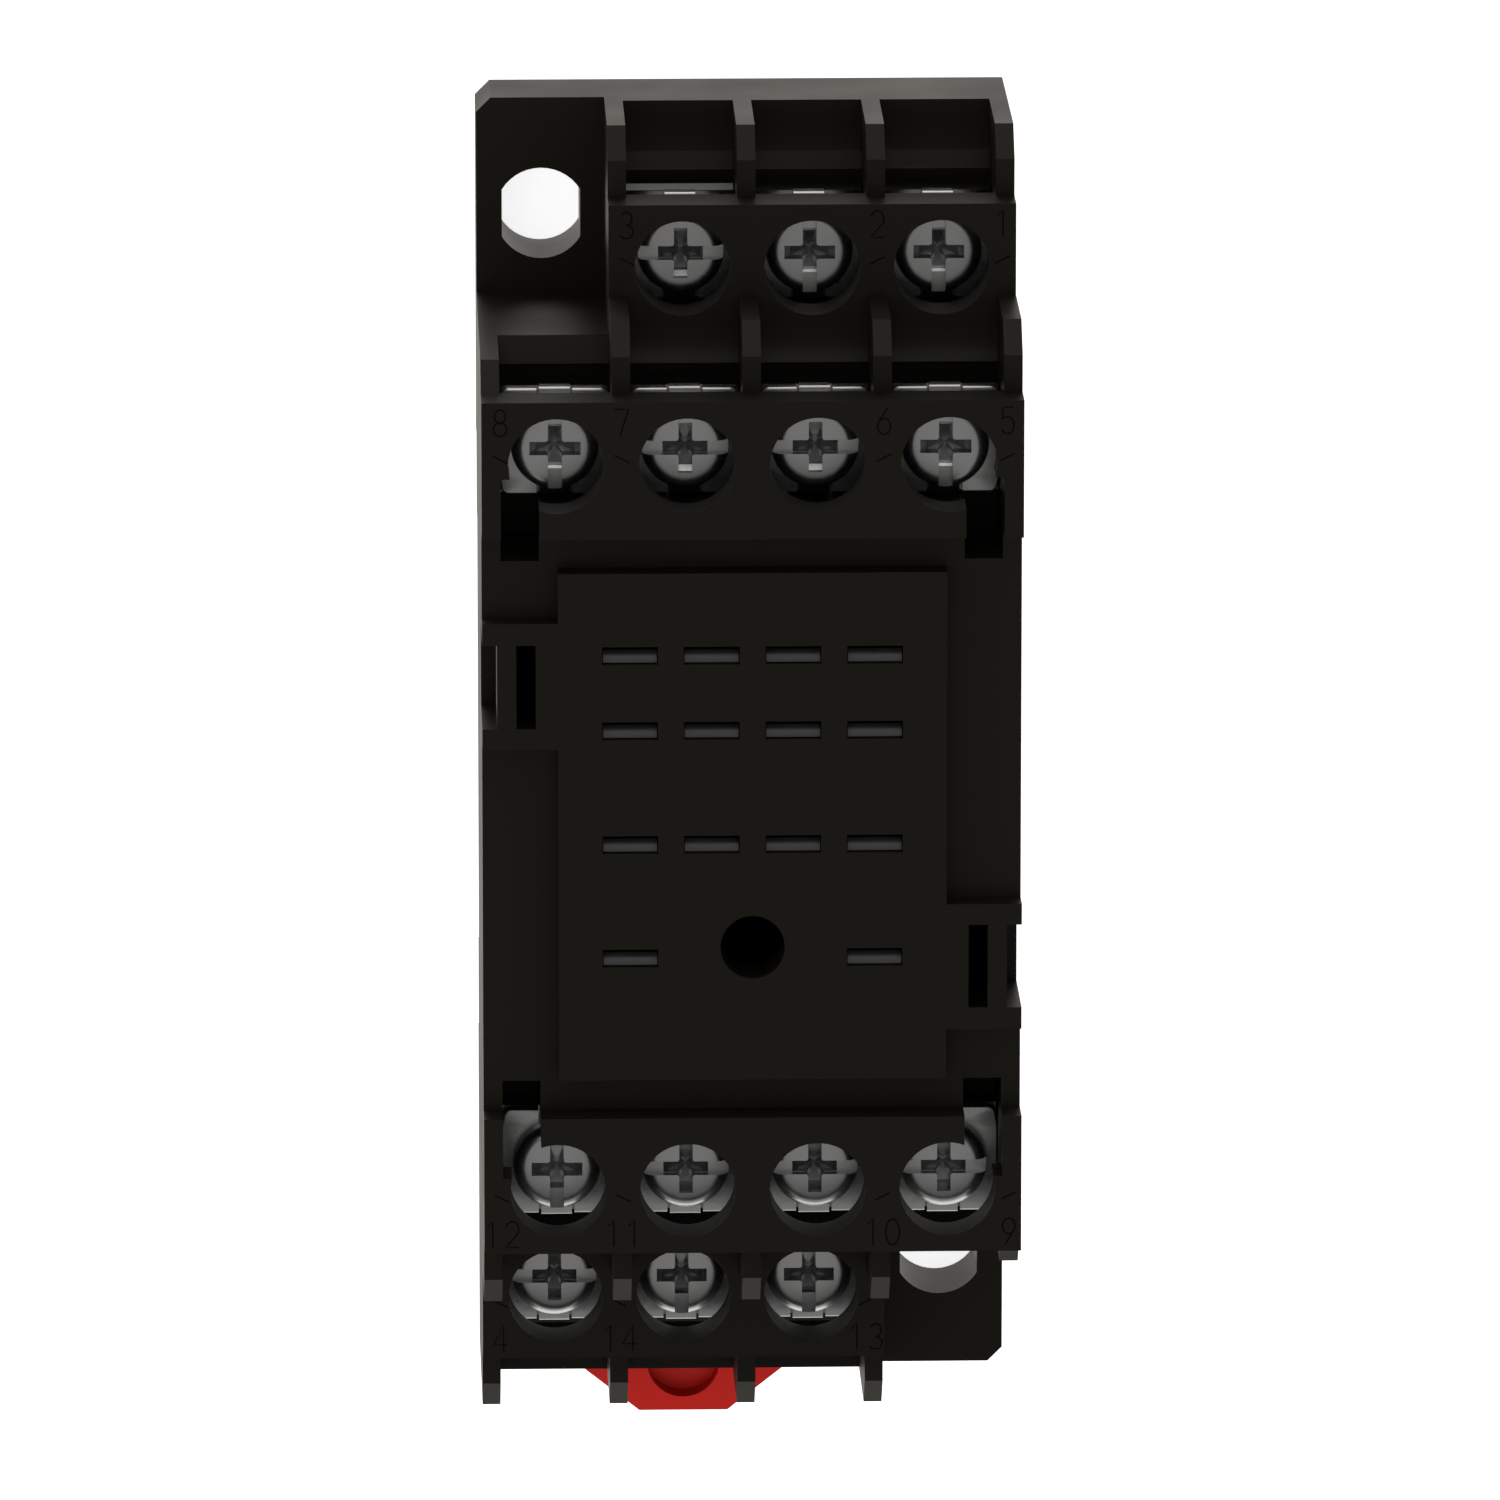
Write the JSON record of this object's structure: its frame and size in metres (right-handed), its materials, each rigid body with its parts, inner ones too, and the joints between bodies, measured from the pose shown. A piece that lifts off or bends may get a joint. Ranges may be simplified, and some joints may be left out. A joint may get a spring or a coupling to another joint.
{
  "type": "relay socket",
  "caption": "Black screw-terminal relay socket with stepped terminal rows, a plug deck for the relay, two mounting ears and a red rail clip",
  "frame": {"origin": "on the mounting plane, midway between the two panel screw holes", "axes": "+Z out of the front face, +Y along the body towards terminals 1 to 3, +X to the right as seen from the front"},
  "size_m": [0.0292, 0.0753, 0.0282],
  "materials": {
    "black_moulding": "fine matt moulded thermoplastic",
    "red_moulding": "smooth red moulded thermoplastic",
    "strip_metal": "nickel-plated brass strip",
    "clamp_metal": "zinc-plated steel",
    "screw_metal": "zinc-plated steel"
  },
  "bodies": {
    "body": {"housing": "black_moulding", "base_plate": "black_moulding", "terminal_strip_01": "strip_metal", "terminal_strip_02": "strip_metal", "terminal_strip_03": "strip_metal", "terminal_strip_04": "strip_metal", "terminal_strip_05": "strip_metal", "terminal_strip_06": "strip_metal", "terminal_strip_07": "strip_metal", "terminal_strip_08": "strip_metal", "terminal_strip_09": "strip_metal", "terminal_strip_10": "strip_metal", "terminal_strip_11": "strip_metal", "terminal_strip_12": "strip_metal", "terminal_strip_13": "strip_metal", "terminal_strip_14": "strip_metal"},
    "clip": {"rail_clip": "red_moulding"},
    "clamp_01": {"clamp_plate_01": "clamp_metal"},
    "screw_01": {"terminal_screw_01": "screw_metal"},
    "clamp_02": {"clamp_plate_02": "clamp_metal"},
    "screw_02": {"terminal_screw_02": "screw_metal"},
    "clamp_03": {"clamp_plate_03": "clamp_metal"},
    "screw_03": {"terminal_screw_03": "screw_metal"},
    "clamp_04": {"clamp_plate_04": "clamp_metal"},
    "screw_04": {"terminal_screw_04": "screw_metal"},
    "clamp_05": {"clamp_plate_05": "clamp_metal"},
    "screw_05": {"terminal_screw_05": "screw_metal"},
    "clamp_06": {"clamp_plate_06": "clamp_metal"},
    "screw_06": {"terminal_screw_06": "screw_metal"},
    "clamp_07": {"clamp_plate_07": "clamp_metal"},
    "screw_07": {"terminal_screw_07": "screw_metal"},
    "clamp_08": {"clamp_plate_08": "clamp_metal"},
    "screw_08": {"terminal_screw_08": "screw_metal"},
    "clamp_09": {"clamp_plate_09": "clamp_metal"},
    "screw_09": {"terminal_screw_09": "screw_metal"},
    "clamp_10": {"clamp_plate_10": "clamp_metal"},
    "screw_10": {"terminal_screw_10": "screw_metal"},
    "clamp_11": {"clamp_plate_11": "clamp_metal"},
    "screw_11": {"terminal_screw_11": "screw_metal"},
    "clamp_12": {"clamp_plate_12": "clamp_metal"},
    "screw_12": {"terminal_screw_12": "screw_metal"},
    "clamp_13": {"clamp_plate_13": "clamp_metal"},
    "screw_13": {"terminal_screw_13": "screw_metal"},
    "clamp_14": {"clamp_plate_14": "clamp_metal"},
    "screw_14": {"terminal_screw_14": "screw_metal"}
  },
  "joints": [
    {"name": "clip_slide", "type": "slide", "parent": "body", "child": "clip", "axis": [0, -1, 0], "range_m": [0, 0.0025], "stiffness_N_per_m": 300},
    {"name": "clamp_01_lift", "type": "slide", "parent": "body", "child": "clamp_01", "axis": [0, 0, 1], "range_m": [0, 0.0015]},
    {"name": "screw_01_turn", "type": "hinge", "parent": "clamp_01", "child": "screw_01", "pos_m": [0.01055, 0.02877, 0.0133], "axis": [0, 0, 1], "range_deg": [0, 1080.5]},
    {"name": "clamp_02_lift", "type": "slide", "parent": "body", "child": "clamp_02", "axis": [0, 0, 1], "range_m": [0, 0.0015]},
    {"name": "screw_02_turn", "type": "hinge", "parent": "clamp_02", "child": "screw_02", "pos_m": [0.00351, 0.02877, 0.0133], "axis": [0, 0, 1], "range_deg": [0, 1080.5]},
    {"name": "clamp_03_lift", "type": "slide", "parent": "body", "child": "clamp_03", "axis": [0, 0, 1], "range_m": [0, 0.0015]},
    {"name": "screw_03_turn", "type": "hinge", "parent": "clamp_03", "child": "screw_03", "pos_m": [-0.00351, 0.02877, 0.0133], "axis": [0, 0, 1], "range_deg": [0, 1080.5]},
    {"name": "clamp_04_lift", "type": "slide", "parent": "body", "child": "clamp_04", "axis": [0, 0, 1], "range_m": [0, 0.0015]},
    {"name": "screw_04_turn", "type": "hinge", "parent": "clamp_04", "child": "screw_04", "pos_m": [-0.01055, -0.02877, 0.0133], "axis": [0, 0, 1], "range_deg": [0, 1080.5]},
    {"name": "clamp_05_lift", "type": "slide", "parent": "body", "child": "clamp_05", "axis": [0, 0, 1], "range_m": [0, 0.0015]},
    {"name": "screw_05_turn", "type": "hinge", "parent": "clamp_05", "child": "screw_05", "pos_m": [0.01055, 0.02006, 0.0234], "axis": [0, 0, 1], "range_deg": [0, 1080.5]},
    {"name": "clamp_06_lift", "type": "slide", "parent": "body", "child": "clamp_06", "axis": [0, 0, 1], "range_m": [0, 0.0015]},
    {"name": "screw_06_turn", "type": "hinge", "parent": "clamp_06", "child": "screw_06", "pos_m": [0.00351, 0.02006, 0.0234], "axis": [0, 0, 1], "range_deg": [0, 1080.5]},
    {"name": "clamp_07_lift", "type": "slide", "parent": "body", "child": "clamp_07", "axis": [0, 0, 1], "range_m": [0, 0.0015]},
    {"name": "screw_07_turn", "type": "hinge", "parent": "clamp_07", "child": "screw_07", "pos_m": [-0.00351, 0.02006, 0.0234], "axis": [0, 0, 1], "range_deg": [0, 1080.5]},
    {"name": "clamp_08_lift", "type": "slide", "parent": "body", "child": "clamp_08", "axis": [0, 0, 1], "range_m": [0, 0.0015]},
    {"name": "screw_08_turn", "type": "hinge", "parent": "clamp_08", "child": "screw_08", "pos_m": [-0.01055, 0.02006, 0.0234], "axis": [0, 0, 1], "range_deg": [0, 1080.5]},
    {"name": "clamp_09_lift", "type": "slide", "parent": "body", "child": "clamp_09", "axis": [0, 0, 1], "range_m": [0, 0.0015]},
    {"name": "screw_09_turn", "type": "hinge", "parent": "clamp_09", "child": "screw_09", "pos_m": [0.01055, -0.02006, 0.0234], "axis": [0, 0, 1], "range_deg": [0, 1080.5]},
    {"name": "clamp_10_lift", "type": "slide", "parent": "body", "child": "clamp_10", "axis": [0, 0, 1], "range_m": [0, 0.0015]},
    {"name": "screw_10_turn", "type": "hinge", "parent": "clamp_10", "child": "screw_10", "pos_m": [0.00351, -0.02006, 0.0234], "axis": [0, 0, 1], "range_deg": [0, 1080.5]},
    {"name": "clamp_11_lift", "type": "slide", "parent": "body", "child": "clamp_11", "axis": [0, 0, 1], "range_m": [0, 0.0015]},
    {"name": "screw_11_turn", "type": "hinge", "parent": "clamp_11", "child": "screw_11", "pos_m": [-0.00351, -0.02006, 0.0234], "axis": [0, 0, 1], "range_deg": [0, 1080.5]},
    {"name": "clamp_12_lift", "type": "slide", "parent": "body", "child": "clamp_12", "axis": [0, 0, 1], "range_m": [0, 0.0015]},
    {"name": "screw_12_turn", "type": "hinge", "parent": "clamp_12", "child": "screw_12", "pos_m": [-0.01055, -0.02006, 0.0234], "axis": [0, 0, 1], "range_deg": [0, 1080.5]},
    {"name": "clamp_13_lift", "type": "slide", "parent": "body", "child": "clamp_13", "axis": [0, 0, 1], "range_m": [0, 0.0015]},
    {"name": "screw_13_turn", "type": "hinge", "parent": "clamp_13", "child": "screw_13", "pos_m": [0.00351, -0.02877, 0.0133], "axis": [0, 0, 1], "range_deg": [0, 1080.5]},
    {"name": "clamp_14_lift", "type": "slide", "parent": "body", "child": "clamp_14", "axis": [0, 0, 1], "range_m": [0, 0.0015]},
    {"name": "screw_14_turn", "type": "hinge", "parent": "clamp_14", "child": "screw_14", "pos_m": [-0.00351, -0.02877, 0.0133], "axis": [0, 0, 1], "range_deg": [0, 1080.5]}
  ],
  "couplings": [
    {"joint": "screw_01_turn", "follows": "clamp_01_lift", "rad_per_m": 12566},
    {"joint": "screw_02_turn", "follows": "clamp_02_lift", "rad_per_m": 12566},
    {"joint": "screw_03_turn", "follows": "clamp_03_lift", "rad_per_m": 12566},
    {"joint": "screw_04_turn", "follows": "clamp_04_lift", "rad_per_m": 12566},
    {"joint": "screw_05_turn", "follows": "clamp_05_lift", "rad_per_m": 12566},
    {"joint": "screw_06_turn", "follows": "clamp_06_lift", "rad_per_m": 12566},
    {"joint": "screw_07_turn", "follows": "clamp_07_lift", "rad_per_m": 12566},
    {"joint": "screw_08_turn", "follows": "clamp_08_lift", "rad_per_m": 12566},
    {"joint": "screw_09_turn", "follows": "clamp_09_lift", "rad_per_m": 12566},
    {"joint": "screw_10_turn", "follows": "clamp_10_lift", "rad_per_m": 12566},
    {"joint": "screw_11_turn", "follows": "clamp_11_lift", "rad_per_m": 12566},
    {"joint": "screw_12_turn", "follows": "clamp_12_lift", "rad_per_m": 12566},
    {"joint": "screw_13_turn", "follows": "clamp_13_lift", "rad_per_m": 12566},
    {"joint": "screw_14_turn", "follows": "clamp_14_lift", "rad_per_m": 12566}
  ]
}
